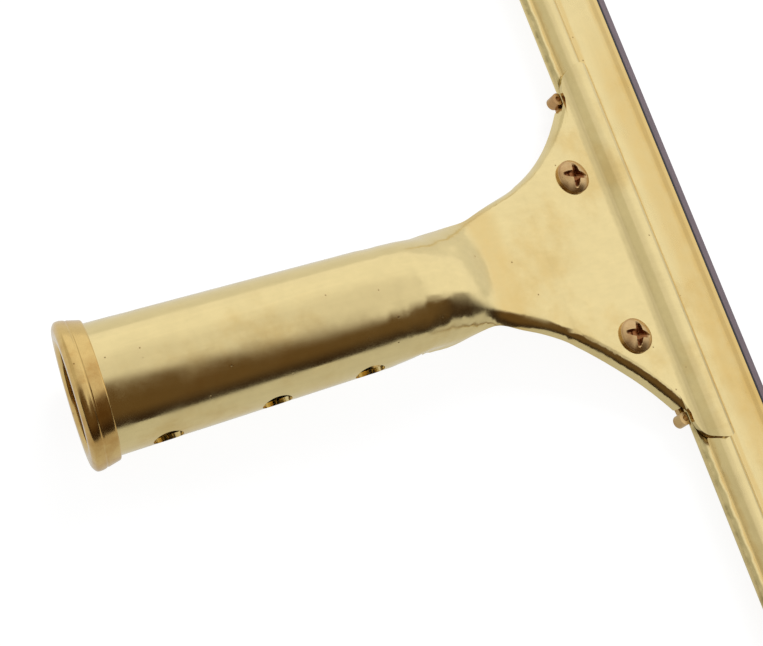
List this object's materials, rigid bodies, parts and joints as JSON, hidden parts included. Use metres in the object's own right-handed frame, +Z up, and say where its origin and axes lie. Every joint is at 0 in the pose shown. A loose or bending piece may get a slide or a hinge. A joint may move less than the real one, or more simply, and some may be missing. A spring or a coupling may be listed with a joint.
{
  "type": "window cleaning squeegee",
  "caption": "Hand squeegee with a tapered brass tube handle, a fan head that clamps a brass channel, and a rubber wiping blade.",
  "frame": {"origin": "on the resting surface, under the middle of the overall box", "axes": "+X along the channel, +Y from the handle's mouth to the rubber, +Z up, with the screw side of the head facing up"},
  "size_m": [0.3058, 0.1732, 0.0373],
  "materials": {
    "polished_brass": "polished, lightly tarnished",
    "turned_brass": "turned, warmer tone",
    "plate_brass": "pressed",
    "screw_bronze": "copper tinted",
    "channel_brass": "roll-formed, polished",
    "black_rubber": "matt",
    "clip_brass": "plain"
  },
  "bodies": {
    "handle": {"handle_shell": "polished_brass", "handle_collar": "turned_brass"},
    "left_screw": {"clamp_screw_left": "screw_bronze"},
    "right_screw": {"clamp_screw_right": "screw_bronze"},
    "lower_jaw": {"clamp_plate": "plate_brass"},
    "channel": {"channel": "channel_brass"},
    "rubber": {"rubber_blade": "black_rubber"},
    "left_clip": {"end_clip_left": "clip_brass"},
    "right_clip": {"end_clip_right": "clip_brass"}
  },
  "joints": [
    {"name": "left_screw_turn", "type": "hinge", "parent": "handle", "child": "left_screw", "pos_m": [-0.0223, 0.05384, 0.01329], "axis": [0, 0.2862, 0.9582], "range_deg": [0, 720]},
    {"name": "right_screw_turn", "type": "hinge", "parent": "handle", "child": "right_screw", "pos_m": [0.0223, 0.05384, 0.01329], "axis": [0, 0.2862, 0.9582], "range_deg": [0, 720]},
    {"name": "jaw_drop", "type": "slide", "parent": "handle", "child": "lower_jaw", "axis": [0, -0.2862, -0.9582], "range_m": [0, 0.00159]},
    {"name": "channel_shift", "type": "slide", "parent": "handle", "child": "channel", "axis": [1, 0, 0], "range_m": [-0.095, 0.095]},
    {"name": "rubber_pull", "type": "slide", "parent": "channel", "child": "rubber", "axis": [1, 0, 0], "range_m": [-0.3, 0.3]},
    {"name": "left_clip_pull", "type": "slide", "parent": "channel", "child": "left_clip", "axis": [-1, 0, 0], "range_m": [0, 0.0125]},
    {"name": "right_clip_pull", "type": "slide", "parent": "channel", "child": "right_clip", "axis": [1, 0, 0], "range_m": [0, 0.0125]}
  ],
  "couplings": [
    {"joint": "left_screw_turn", "follows": "jaw_drop", "rad_per_m": 7913.3},
    {"joint": "right_screw_turn", "follows": "jaw_drop", "rad_per_m": 7913.3}
  ]
}
